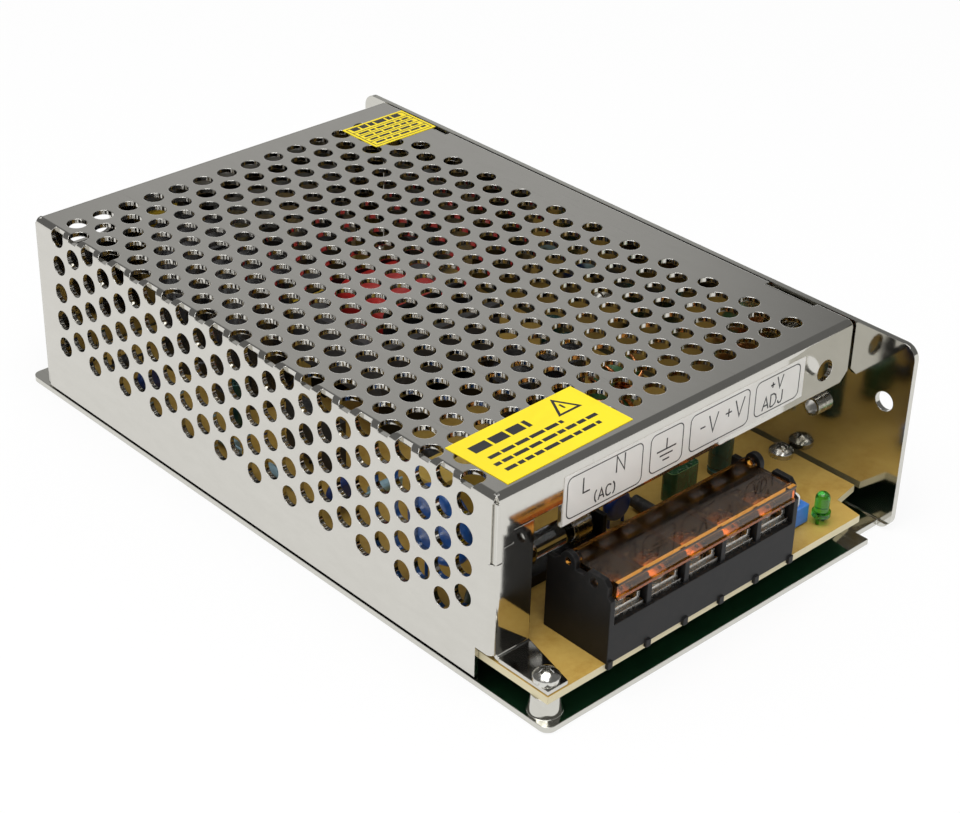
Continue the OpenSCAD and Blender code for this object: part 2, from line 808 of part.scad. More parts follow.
module line_choke_coils() {
  color("#b5622a") for (s = [-1, 1]) difference() {
    translate([line_choke_at[0] + s * choke_coil_x, line_choke_at[1], board_top + 5.4]) cylinder(h = 8.4, r = 5);
    block_at([line_choke_at[0] + s * choke_coil_x, line_choke_at[1]], board_top + 2, 4.8, 5.6, 16);
  }
}

module line_choke_bobbin() {
  color("#161616") {
    block_at(line_choke_at, board_top, 21, 10.6, 2.4);
    for (s = [-1, 1], z = [board_top + 5, board_top + 13.8]) difference() {
      translate([line_choke_at[0] + s * choke_coil_x, line_choke_at[1], z]) cylinder(h = 0.4, r = 5.2);
      block_at([line_choke_at[0] + s * choke_coil_x, line_choke_at[1]], z - cut, 4.6, 5.2, 2);
    }
  }
}

module bridge_rectifier() {
  color("#161616") {
    block_at(bridge_at, board_top + 2.4, 3.6, 14.5, 11);
    for (k = [-1.5 : 1 : 1.5]) lead(bridge_at[0], bridge_at[1] + k * 3.8, board_top + 2.6);
  }
}

// A sleeved can standing on the board, with the crimp groove near its foot
module can_capacitor(p, d, h) {
  groove = min(0.5, d / 20);
  translate([p[0], p[1], board_top]) rotate_extrude() difference() {
    square([d / 2, h]);
    translate([d / 2 + 0.3, d / 6 + 0.6]) circle(groove + 0.3);
    translate([0, h - 0.4]) square([d / 2 - 1, 1]);
  }
}

module bulk_capacitors() {
  color("#1c1c1f") for (p = bulk_caps_at) can_capacitor(p, bulk_d, bulk_h);
}

// Transistor in a flat package: tab against the sink, body, three leads; face points to -Y
module flat_package() {
  translate([-5, -1.3, 12]) cube([10, 1.3, 15.4]);
  translate([-5, -4.5, 12]) cube([10, 3.2, 9]);
  for (k = [-1 : 1]) translate([k * 2.54 - 0.4, -2.9, board_top]) cube([0.8, 0.6, 12 - board_top]);
}

module primary_heatsink() {
  color("silver") {
    translate([primary_sink[0], primary_sink[1], board_top])
      cube([primary_sink[2] - primary_sink[0], primary_sink[3] - primary_sink[1], primary_sink[4] - board_top]);
    translate([primary_sink[0], primary_sink[1], primary_sink[4] - 2])
      cube([primary_sink[2] - primary_sink[0], 6, 2]);
  }
}

module switching_transistors() {
  color("#1a1a1a") for (p = transistors_at) translate([p[0], p[1], 0]) flat_package();
}

module transformer_core() {
  color("#38383a") translate(transformer_at) difference() {
    cube([core_w, core_l, core_h], center = true);
    for (s = [-1, 1]) translate([s * (core_leg_w + core_window_w) / 2, 0, 0])
      cube([core_window_w, core_window_l, core_h + 2 * cut], center = true);
  }
}

module transformer_winding() {
  color("#b01c18") translate(transformer_at) rotate([90, 0, 0]) translate([0, 0, -winding_l / 2])
    linear_extrude(winding_l) difference() {
      round_rect(winding_w, winding_h, 3);
      square([core_leg_w + 2 * tube_t + 0.6, core_h + 2 * tube_t + 0.6], center = true);
    }
}

module transformer_bobbin() {
  rail_h = 7.2;
  color("#161616") {
    translate(transformer_at) rotate([90, 0, 0]) translate([0, 0, -core_window_l / 2 + 0.1])
      linear_extrude(core_window_l - 0.2) difference() {
        square([core_leg_w + 2 * tube_t + 0.4, core_h + 2 * tube_t + 0.4], center = true);
        square([core_leg_w + 0.2, core_h + 0.2], center = true);
      }
    for (s = [-1, 1]) {
      translate([transformer_at[0], transformer_at[1] + s * (core_window_l / 2 - 0.1 - flange_t / 2), transformer_at[2]])
        rotate([90, 0, 0]) translate([0, 0, -flange_t / 2]) linear_extrude(flange_t) difference() {
          round_rect(22.6, 23.4, 1);
          square([core_leg_w + 0.2, core_h + 0.2], center = true);
        }
      block_at([transformer_at[0], transformer_at[1] + s * (winding_l / 2 + 2.4)], board_top, 25, 4.6, rail_h);
    }
  }
}

module drive_transformer_core() {
  color("#38383a") difference() {
    block_at(drive_at, board_top + 2.7, 16, 5, 12.5);
    for (s = [-1, 1]) block_at([drive_at[0] + s * 4, drive_at[1]], board_top + 4.7, 3.6, 6, 8.5);
  }
}

module drive_transformer_coil() {
  color("gold") difference() {
    block_at(drive_at, board_top + 5, 11.2, 11, 7.9);
    block_at(drive_at, board_top + 4, 4.8, 5.4, 10);
  }
}

module drive_transformer_bobbin() {
  color("#161616") {
    block_at(drive_at, board_top, 16, 12, 2.5);
    difference() {
      block_at(drive_at, board_top + 4.75, 4.7, 5.3, 8.4);
      block_at(drive_at, board_top + 4, 4.45, 5.05, 10);
    }
    for (s = [-1, 1]) block_at([drive_at[0], drive_at[1] + s * 4.6], board_top + 2.5, 11, 2.4, 2.4);
  }
}

// ---- Output side ----

module output_heatsink() {
  color("silver") translate([output_sink[0], output_sink[1], board_top])
    cube([output_sink[2] - output_sink[0], output_sink[3] - output_sink[1], output_sink[4] - board_top]);
}

module output_rectifier() {
  color("#1a1a1a") translate([rectifier_at[0], rectifier_at[1], 0]) rotate([0, 0, -90]) flat_package();
}

module output_choke_core() {
  color("#3d5a3a") translate(output_choke_at) rotate([90, 0, 0]) rotate_extrude() translate([4.7, 0]) circle(2.2);
}

module output_choke_coil() {
  wire_r = 0.45;
  turn_r = 2.75;
  color("#b5622a") {
    for (i = [0 : output_choke_turns - 1]) translate(output_choke_at) rotate([0, i * 360 / output_choke_turns, 0])
      translate([4.7, 0, 0]) rotate_extrude() translate([turn_r, 0]) circle(wire_r);
    for (s = [-1, 1])
      translate([output_choke_at[0] + s * 2.2, output_choke_at[1] + turn_r, board_top])
        cylinder(h = 2.6, r = wire_r);
  }
}

module output_capacitors() {
  color("#222226") for (p = output_caps_at) can_capacitor(p, output_cap_d, output_cap_h);
}

module small_capacitors() {
  color("#2a6a63") for (p = small_caps_at) can_capacitor(p, 5, 11);
}

module disc_capacitors() {
  color("#2b6fc0") for (p = disc_caps_at) {
    translate([p[0], p[1], board_top + 4.6]) rotate([90, 0, 0]) pill(6.8, 2.4);
    for (s = [-1, 1]) lead(p[0] + s * 2, p[1], board_top + 3);
  }
}

module film_capacitors() {
  color("#4f8a3c") for (p = film_caps_at) {
    translate([p[0], p[1], board_top + 1]) linear_extrude(7) round_rect(8, 3.6, 1.2);
    for (s = [-1, 1]) lead(p[0] + s * 2.6, p[1], board_top + 1.2);
  }
}

// An axial part lying on the board, its leads bent down at both ends
module axial_part(p, d, length, reach) {
  axis_z = board_top + d / 2 + 0.3;
  translate([p[0], p[1], 0]) rotate([0, 0, p[2]]) {
    translate([-length / 2, 0, axis_z]) rotate([0, 90, 0]) cylinder(h = length, d = d);
    translate([-reach, 0, axis_z]) rotate([0, 90, 0]) cylinder(h = 2 * reach, r = 0.3);
    for (s = [-1, 1]) translate([s * (reach - 0.3), 0, board_top]) cylinder(h = axis_z - board_top, r = 0.3);
  }
}

module resistors() {
  color("#8fb0c4") for (p = resistors_at) axial_part(p, 2.4, 6.4, 5);
}

module diodes() {
  color("#1a1a1a") for (p = diodes_at) axial_part(p, 2.7, 5.2, 5);
}

module control_chip() {
  body_l = chip_pins * chip_pin_pitch - 0.8;
  color("#1a1a1a") {
    block_at(chip_at, board_top + 0.6, 6.4, body_l, 3.4);
    for (s = [-1, 1], k = [0 : chip_pins - 1]) {
      pin_y = chip_at[1] + (k - (chip_pins - 1) / 2) * chip_pin_pitch;
      block_at([chip_at[0] + s * 3.6, pin_y], board_top, 0.3, 0.6, 2.4);
      block_at([chip_at[0] + s * 3.4, pin_y], board_top + 2, 0.7, 0.6, 0.4);
    }
  }
}

chassis();
cover();
cover_screws();
side_nuts();
board_screws();
circuit_board();
terminal_label();
front_sticker();
rear_sticker();
terminal_block();
terminal_cover();
contact_plates();
terminal_screw(0);  // terminal_screw_1
terminal_screw(1);  // terminal_screw_2
terminal_screw(2);  // terminal_screw_3
terminal_screw(3);  // terminal_screw_4
terminal_screw(4);  // terminal_screw_5
clamp_plate(0);  // clamp_plate_1
clamp_plate(1);  // clamp_plate_2
clamp_plate(2);  // clamp_plate_3
clamp_plate(3);  // clamp_plate_4
clamp_plate(4);  // clamp_plate_5
trimmer_body();
trimmer_rotor();
indicator_led();
fuse_holder();
fuse_clips();
fuse_tube();
fuse_caps();
inrush_thermistor();
varistor();
line_capacitor();
line_choke_core();
line_choke_coils();
line_choke_bobbin();
bridge_rectifier();
bulk_capacitors();
primary_heatsink();
switching_transistors();
transformer_core();
transformer_winding();
transformer_bobbin();
drive_transformer_core();
drive_transformer_coil();
drive_transformer_bobbin();
output_heatsink();
output_rectifier();
output_choke_core();
output_choke_coil();
output_capacitors();
small_capacitors();
disc_capacitors();
film_capacitors();
resistors();
diodes();
control_chip();
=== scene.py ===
import bpy
import bmesh
import math
import random
from mathutils import Vector, Matrix


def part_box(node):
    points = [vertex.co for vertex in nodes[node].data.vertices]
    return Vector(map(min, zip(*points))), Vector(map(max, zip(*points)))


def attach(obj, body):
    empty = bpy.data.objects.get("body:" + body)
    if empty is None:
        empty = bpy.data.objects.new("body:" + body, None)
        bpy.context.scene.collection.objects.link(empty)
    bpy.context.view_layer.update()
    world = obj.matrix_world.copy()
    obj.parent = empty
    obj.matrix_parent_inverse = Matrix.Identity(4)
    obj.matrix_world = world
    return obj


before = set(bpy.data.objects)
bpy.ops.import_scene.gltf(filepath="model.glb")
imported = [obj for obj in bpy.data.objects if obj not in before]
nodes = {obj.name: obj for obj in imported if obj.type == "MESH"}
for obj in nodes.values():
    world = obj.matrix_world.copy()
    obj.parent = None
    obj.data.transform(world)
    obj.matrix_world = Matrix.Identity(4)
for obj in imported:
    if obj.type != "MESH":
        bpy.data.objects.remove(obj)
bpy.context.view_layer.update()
mm = 0.001
print("frame loaded:", len(nodes), "parts")


cameraSetup = {
    "place": (-0.26044, -0.28163, 0.24190),
    "aim": (0.03062, 0.02085, -0.01084),
    "lens": 80.4,
    "roll": 1.72,  # degrees
    "sensor": 36,
    "clip": (0.01, 20),
}


def addCamera(setup):
    data = bpy.data.cameras.new("studioCamera")
    data.lens = setup["lens"]
    data.sensor_width = setup["sensor"]
    data.clip_start, data.clip_end = setup["clip"]
    cam = bpy.data.objects.new("studioCamera", data)
    bpy.context.scene.collection.objects.link(cam)
    place = Vector(setup["place"])
    look = (Vector(setup["aim"]) - place).to_track_quat("-Z", "Y")
    cam.matrix_world = Matrix.Translation(place) @ look.to_matrix().to_4x4() @ Matrix.Rotation(
        math.radians(setup["roll"]), 4, "Z")
    bpy.context.scene.camera = cam


addCamera(cameraSetup)
bpy.context.scene.view_settings.view_transform = "Standard"
print("camera set")


def startMaterial(name):
    mat = bpy.data.materials.new(name)
    mat.use_nodes = True
    tree = mat.node_tree
    tree.nodes.clear()
    return mat, tree


def addNode(tree, kind, place=(0, 0), **values):
    node = tree.nodes.new(kind)
    node.location = place
    for key, value in values.items():
        setattr(node, key, value)
    return node


def setInput(node, name, value):
    node.inputs[name].default_value = value


def wire(tree, source, target):
    tree.links.new(source, target)


def principled(tree, color, metallic=0.0, roughness=0.5):
    out = addNode(tree, "ShaderNodeOutputMaterial", (600, 0))
    shader = addNode(tree, "ShaderNodeBsdfPrincipled", (300, 0))
    setInput(shader, "Base Color", (*color, 1))
    setInput(shader, "Metallic", metallic)
    setInput(shader, "Roughness", roughness)
    wire(tree, shader.outputs["BSDF"], out.inputs["Surface"])
    return shader


def mixColor(tree, mask, first, second, place=(0, 200)):
    mix = addNode(tree, "ShaderNodeMix", place, data_type="RGBA")
    for index, value in ((6, first), (7, second)):
        if isinstance(value, (tuple, list)):
            mix.inputs[index].default_value = (*value, 1)
        else:
            wire(tree, value, mix.inputs[index])
    wire(tree, mask, mix.inputs[0])
    return mix.outputs[2]


def mapRange(tree, value, low, high, toLow, toHigh, place=(0, -200)):
    node = addNode(tree, "ShaderNodeMapRange", place)
    setInput(node, "From Min", low)
    setInput(node, "From Max", high)
    setInput(node, "To Min", toLow)
    setInput(node, "To Max", toHigh)
    wire(tree, value, node.inputs["Value"])
    return node.outputs["Result"]


def mathNode(tree, operation, a, b=None, place=(0, 0), clamp=False):
    node = addNode(tree, "ShaderNodeMath", place, operation=operation, use_clamp=clamp)
    for index, value in enumerate((a, b)):
        if value is None:
            continue
        if isinstance(value, (int, float)):
            node.inputs[index].default_value = value
        else:
            wire(tree, value, node.inputs[index])
    return node.outputs[0]


def startGroup(name, inputs, outputs):
    group = bpy.data.node_groups.new(name, "ShaderNodeTree")
    for socketName, kind, default in inputs:
        socket = group.interface.new_socket(name=socketName, in_out="INPUT", socket_type=kind)
        socket.default_value = default
    for socketName, kind in outputs:
        group.interface.new_socket(name=socketName, in_out="OUTPUT", socket_type=kind)
    source = addNode(group, "NodeGroupInput", (-900, 0))
    target = addNode(group, "NodeGroupOutput", (700, 0))
    return group, source, target


def useGroup(tree, group, place=(-500, 0), **values):
    node = addNode(tree, "ShaderNodeGroup", place, node_tree=group)
    for key, value in values.items():
        setInput(node, key, value)
    return node


grainEffect = {"detail": 6, "roughness": 0.7, "fineDetail": 2, "fineScale": 6}


def makeRolledGrain():
    # fine streaks left by the rolling mill, stretched along one direction
    group, source, target = startGroup(
        "rolledGrain",
        [("Stretch", "NodeSocketVector", (1, 1, 1)), ("Scale", "NodeSocketFloat", 100.0)],
        [("Value", "NodeSocketFloat"), ("Fine", "NodeSocketFloat")])
    coord = addNode(group, "ShaderNodeTexCoord", (-900, 200))
    mapping = addNode(group, "ShaderNodeMapping", (-650, 200))
    wire(group, coord.outputs["Object"], mapping.inputs["Vector"])
    wire(group, source.outputs["Stretch"], mapping.inputs["Scale"])
    noise = addNode(group, "ShaderNodeTexNoise", (-400, 200))
    setInput(noise, "Detail", grainEffect["detail"])
    setInput(noise, "Roughness", grainEffect["roughness"])
    wire(group, mapping.outputs["Vector"], noise.inputs["Vector"])
    wire(group, source.outputs["Scale"], noise.inputs["Scale"])
    fine = addNode(group, "ShaderNodeTexNoise", (-400, -100))
    setInput(fine, "Detail", grainEffect["fineDetail"])
    wire(group, mapping.outputs["Vector"], fine.inputs["Vector"])
    finer = mathNode(group, "MULTIPLY", source.outputs["Scale"], grainEffect["fineScale"], (-600, -100))
    wire(group, finer, fine.inputs["Scale"])
    wire(group, noise.outputs["Fac"], target.inputs["Value"])
    wire(group, fine.outputs["Fac"], target.inputs["Fine"])
    return group


marksEffect = {"detail": 4, "distortion": 1.2, "level": 0.62, "spreadShare": 0.25, "gain": 5.0}


def makeHandlingMarks():
    # soft smears and finger marks, as a mask
    group, source, target = startGroup(
        "handlingMarks",
        [("Scale", "NodeSocketFloat", 40.0), ("Spread", "NodeSocketFloat", 0.5)],
        [("Mask", "NodeSocketFloat")])
    coord = addNode(group, "ShaderNodeTexCoord", (-900, 200))
    noise = addNode(group, "ShaderNodeTexNoise", (-500, 200))
    setInput(noise, "Detail", marksEffect["detail"])
    setInput(noise, "Distortion", marksEffect["distortion"])
    wire(group, coord.outputs["Object"], noise.inputs["Vector"])
    wire(group, source.outputs["Scale"], noise.inputs["Scale"])
    spread = mathNode(group, "MULTIPLY", source.outputs["Spread"], marksEffect["spreadShare"], (-500, -100))
    low = mathNode(group, "SUBTRACT", marksEffect["level"], spread, (-300, -100))
    lift = mathNode(group, "SUBTRACT", noise.outputs["Fac"], low, (-100, 100))
    mask = mathNode(group, "MULTIPLY", lift, marksEffect["gain"], (100, 100), clamp=True)
    wire(group, mask, target.inputs["Mask"])
    return group


scratchEffect = {
    "turns": ((0.3, 0.2, 0.6), (0.1, 0.5, -0.9)),  # radians, one for each direction
    "stretch": (1, 0.05, 0.05), "detail": 1, "gain": 14.0,
}


def makeScratches():
    # thin bright scratches lying in two directions
    group, source, target = startGroup(
        "fineScratches",
        [("Scale", "NodeSocketFloat", 300.0), ("Cut", "NodeSocketFloat", 0.7)],
        [("Mask", "NodeSocketFloat")])
    coord = addNode(group, "ShaderNodeTexCoord", (-900, 200))
    found = []
    for index, turn in enumerate(scratchEffect["turns"]):
        level = 300 - 300 * index
        mapping = addNode(group, "ShaderNodeMapping", (-650, level))
        setInput(mapping, "Rotation", turn)
        setInput(mapping, "Scale", scratchEffect["stretch"])
        wire(group, coord.outputs["Object"], mapping.inputs["Vector"])
        noise = addNode(group, "ShaderNodeTexNoise", (-400, level))
        setInput(noise, "Detail", scratchEffect["detail"])
        wire(group, mapping.outputs["Vector"], noise.inputs["Vector"])
        wire(group, source.outputs["Scale"], noise.inputs["Scale"])
        over = mathNode(group, "SUBTRACT", noise.outputs["Fac"], source.outputs["Cut"], (-200, level))
        found.append(mathNode(group, "MULTIPLY", over, scratchEffect["gain"], (0, level), clamp=True))
    wire(group, mathNode(group, "MAXIMUM", found[0], found[1], (300, 0)), target.inputs["Mask"])
    return group


edgeEffect = {"samples": 4, "gain": 4.0}


def makeEdgeLight():
    # finds sharp edges and gives a softened normal there, and a mask that the finishes use for a painted
    # edge highlight
    group, source, target = startGroup(
        "softEdge",
        [("Radius", "NodeSocketFloat", 0.0003)],
        [("Normal", "NodeSocketVector"), ("Mask", "NodeSocketFloat")])
    bevel = addNode(group, "ShaderNodeBevel", (-500, 100), samples=edgeEffect["samples"])
    wire(group, source.outputs["Radius"], bevel.inputs["Radius"])
    geometry = addNode(group, "ShaderNodeNewGeometry", (-500, -200))
    dot = addNode(group, "ShaderNodeVectorMath", (-250, 0), operation="DOT_PRODUCT")
    wire(group, bevel.outputs["Normal"], dot.inputs[0])
    wire(group, geometry.outputs["Normal"], dot.inputs[1])
    away = mathNode(group, "SUBTRACT", 1.0, dot.outputs["Value"], (0, 0))
    mask = mathNode(group, "MULTIPLY", away, edgeEffect["gain"], (200, 0), clamp=True)
    wire(group, mask, target.inputs["Mask"])
    wire(group, bevel.outputs["Normal"], target.inputs["Normal"])
    return group


dustEffect = {"detail": 5, "level": 0.5, "gain": 3.0}


def makeSettledDust():
    # pale specks and film on upward faces
    group, source, target = startGroup(
        "settledDust",
        [("Scale", "NodeSocketFloat", 900.0), ("Amount", "NodeSocketFloat", 0.3)],
        [("Mask", "NodeSocketFloat")])
    coord = addNode(group, "ShaderNodeTexCoord", (-900, 200))
    noise = addNode(group, "ShaderNodeTexNoise", (-500, 200))
    setInput(noise, "Detail", dustEffect["detail"])
    wire(group, coord.outputs["Object"], noise.inputs["Vector"])
    wire(group, source.outputs["Scale"], noise.inputs["Scale"])
    geometry = addNode(group, "ShaderNodeNewGeometry", (-500, -100))
    split = addNode(group, "ShaderNodeSeparateXYZ", (-300, -100))
    wire(group, geometry.outputs["Normal"], split.inputs[0])
    up = mathNode(group, "MAXIMUM", split.outputs["Z"], 0.0, (-100, -100))
    over = mathNode(group, "SUBTRACT", noise.outputs["Fac"], dustEffect["level"], (-200, 200))
    specks = mathNode(group, "MULTIPLY", over, dustEffect["gain"], (0, 200), clamp=True)
    both = mathNode(group, "MULTIPLY", specks, up, (200, 100))
    mask = mathNode(group, "MULTIPLY", both, source.outputs["Amount"], (400, 100), clamp=True)
    wire(group, mask, target.inputs["Mask"])
    return group


rolledGrain = makeRolledGrain()
handlingMarks = makeHandlingMarks()
fineScratches = makeScratches()
softEdge = makeEdgeLight()
settledDust = makeSettledDust()
print("shared effects built")


def makeSheetMetal(name, look):
    mat, tree = startMaterial(name)
    shader = principled(tree, look["color"], 1.0, look["roughness"][0])
    grain = useGroup(tree, rolledGrain, (-900, 200), Stretch=look["stretch"], Scale=look["grainScale"])
    marks = useGroup(tree, handlingMarks, (-900, -50), Scale=look["marksScale"], Spread=look["marksSpread"])
    scratch = useGroup(tree, fineScratches, (-900, -250), Scale=look["scratchScale"],
        Cut=look["scratchCut"])
    edge = useGroup(tree, softEdge, (-900, -450), Radius=look["edgeRadius"])
    streaks = mapRange(tree, grain.outputs["Value"], *look["grainBand"], 0, 1, (-650, 300))
    tint = mixColor(tree, streaks, look["dark"], look["color"], (-400, 300))
    # painted highlight: the base colour turns lighter along sharp edges and folds, standing in for light
    # caught there
    edgeHighlightShare = mathNode(tree, "MULTIPLY", edge.outputs["Mask"], look["edgeShine"], (-400, -450))
    tint = mixColor(tree, edgeHighlightShare, tint, look["paintedEdgeHighlightColor"], (-200, 300))
    wire(tree, tint, shader.inputs["Base Color"])
    rough = mapRange(tree, grain.outputs["Value"], *look["grainBand"], *look["roughness"], (-650, 0))
    smears = mathNode(tree, "MULTIPLY", marks.outputs["Mask"], look["marksRough"], (-500, -100))
    rough = mathNode(tree, "ADD", rough, smears, (-300, -50))
    cuts = mathNode(tree, "MULTIPLY", scratch.outputs["Mask"], look["scratchRough"], (-500, -250))
    rough = mathNode(tree, "ADD", rough, cuts, (-100, -50))
    wire(tree, rough, shader.inputs["Roughness"])
    bump = addNode(tree, "ShaderNodeBump", (50, -350))
    setInput(bump, "Strength", look["bump"])
    setInput(bump, "Distance", look["bumpDepth"])
    height = mathNode(tree, "ADD", grain.outputs["Fine"], scratch.outputs["Mask"], (-200, -350))
    wire(tree, height, bump.inputs["Height"])
    wire(tree, edge.outputs["Normal"], bump.inputs["Normal"])
    wire(tree, bump.outputs["Normal"], shader.inputs["Normal"])
    return mat


coverLook = {
    "color": (0.62, 0.605, 0.56), "dark": (0.59, 0.575, 0.53), "paintedEdgeHighlightColor": (0.80, 0.79, 0.75),
    "roughness": (0.05, 0.09), "stretch": (1.6, 0.6, 1.6), "grainScale": 220.0,
    "marksScale": 28.0, "marksSpread": 0.5, "marksRough": 0.04,
    "scratchScale": 900.0, "scratchCut": 0.7, "scratchRough": 0.1,
    "edgeRadius": 0.00022, "edgeShine": 0.7, "bump": 0.03, "bumpDepth": 0.00002, "grainBand": (0.3, 0.7),
}
chassisLook = dict(coverLook)
chassisLook.update({"roughness": (0.06, 0.11), "color": (0.62, 0.61, 0.56), "dark": (0.58, 0.57, 0.52)})


metalSmear = {"roughness": 0.18, "spread": 0.6}


def makeSmallMetal(name, look):
    mat, tree = startMaterial(name)
    shader = principled(tree, look["color"], 1.0, look["roughness"])
    marks = useGroup(tree, handlingMarks, (-900, 0), Scale=look["marksScale"], Spread=metalSmear["spread"])
    edge = useGroup(tree, softEdge, (-900, -300), Radius=look["edgeRadius"])
    tint = mixColor(tree, marks.outputs["Mask"], look["color"], look["stain"], (-400, 200))
    # painted highlight: the base colour turns lighter along sharp edges, standing in for light caught there
    tint = mixColor(tree, edge.outputs["Mask"], tint, look["paintedEdgeHighlightColor"], (-200, 200))
    wire(tree, tint, shader.inputs["Base Color"])
    duller = look["roughness"] + metalSmear["roughness"]
    rough = mapRange(tree, marks.outputs["Mask"], 0, 1, look["roughness"], duller, (-400, -50))
    wire(tree, rough, shader.inputs["Roughness"])
    wire(tree, edge.outputs["Normal"], shader.inputs["Normal"])
    return mat


smallMetals = {
    "screwSteel": {
        "color": (0.66, 0.65, 0.61), "stain": (0.45, 0.43, 0.38),
        "paintedEdgeHighlightColor": (0.9, 0.9, 0.88), "roughness": 0.16, "marksScale": 600.0, "edgeRadius": 0.00018,
    },
    "tinPlate": {
        "color": (0.70, 0.69, 0.65), "stain": (0.48, 0.46, 0.42),
        "paintedEdgeHighlightColor": (0.9, 0.9, 0.88), "roughness": 0.2, "marksScale": 500.0, "edgeRadius": 0.00015,
    },
    "clipBrass": {
        "color": (0.75, 0.58, 0.28), "stain": (0.5, 0.36, 0.16), "paintedEdgeHighlightColor": (0.9, 0.8, 0.5),
        "roughness": 0.25, "marksScale": 500.0, "edgeRadius": 0.0001},
    "capSteel": {
        "color": (0.82, 0.82, 0.82), "stain": (0.6, 0.6, 0.6), "paintedEdgeHighlightColor": (0.95, 0.95, 0.95),
        "roughness": 0.12, "marksScale": 500.0, "edgeRadius": 0.0002},
    "sinkAluminium": {
        "color": (0.78, 0.78, 0.79), "stain": (0.62, 0.62, 0.62),
        "paintedEdgeHighlightColor": (0.92, 0.92, 0.92), "roughness": 0.3, "marksScale": 200.0, "edgeRadius": 0.0003,
    },
    "copperWire": {
        "color": (0.78, 0.33, 0.13), "stain": (0.5, 0.18, 0.06),
        "paintedEdgeHighlightColor": (0.9, 0.5, 0.25), "roughness": 0.25, "marksScale": 900.0, "edgeRadius": 0.0001,
    },
}


mouldedDefault = {
    "shine": 0.5, "coat": 0.0, "coatRoughness": 0.08, "marksScale": 300.0, "marksSpread": 0.6,
    "dustScale": 1500.0, "dust": 0.2, "dustColor": (0.55, 0.53, 0.48), "dustRough": 0.35,
    "edgeRadius": 0.0003, "skinScale": 3500.0, "skinDetail": 3, "bump": 0.15, "bumpDepth": 0.00004,
}


def makeMoulded(name, own):
    # moulded, dipped or sleeved plastic with a fine skin
    look = {**mouldedDefault, **own}
    mat, tree = startMaterial(name)
    shader = principled(tree, look["color"], 0.0, look["roughness"])
    setInput(shader, "Specular IOR Level", look["shine"])
    setInput(shader, "Coat Weight", look["coat"])
    setInput(shader, "Coat Roughness", look["coatRoughness"])
    marks = useGroup(tree, handlingMarks, (-900, 200), Scale=look["marksScale"], Spread=look["marksSpread"])
    dust = useGroup(tree, settledDust, (-900, 0), Scale=look["dustScale"], Amount=look["dust"])
    edge = useGroup(tree, softEdge, (-900, -300), Radius=look["edgeRadius"])
    tint = mixColor(tree, marks.outputs["Mask"], look["color"], look["second"], (-500, 300))
    # painted highlight: the base colour turns lighter along sharp edges, standing in for light caught there
    tint = mixColor(tree, edge.outputs["Mask"], tint, look["paintedEdgeHighlightColor"], (-300, 300))
    tint = mixColor(tree, dust.outputs["Mask"], tint, look["dustColor"], (-100, 300))
    wire(tree, tint, shader.inputs["Base Color"])
    dusty = min(1, look["roughness"] + look["dustRough"])
    rough = mapRange(tree, dust.outputs["Mask"], 0, 1, look["roughness"], dusty, (-300, 0))
    wire(tree, rough, shader.inputs["Roughness"])
    skin = addNode(tree, "ShaderNodeTexNoise", (-500, -500))
    setInput(skin, "Scale", look["skinScale"])
    setInput(skin, "Detail", look["skinDetail"])
    coord = addNode(tree, "ShaderNodeTexCoord", (-700, -500))
    wire(tree, coord.outputs["Object"], skin.inputs["Vector"])
    bump = addNode(tree, "ShaderNodeBump", (50, -350))
    setInput(bump, "Strength", look["bump"])
    setInput(bump, "Distance", look["bumpDepth"])
    wire(tree, skin.outputs["Fac"], bump.inputs["Height"])
    wire(tree, edge.outputs["Normal"], bump.inputs["Normal"])
    wire(tree, bump.outputs["Normal"], shader.inputs["Normal"])
    return mat


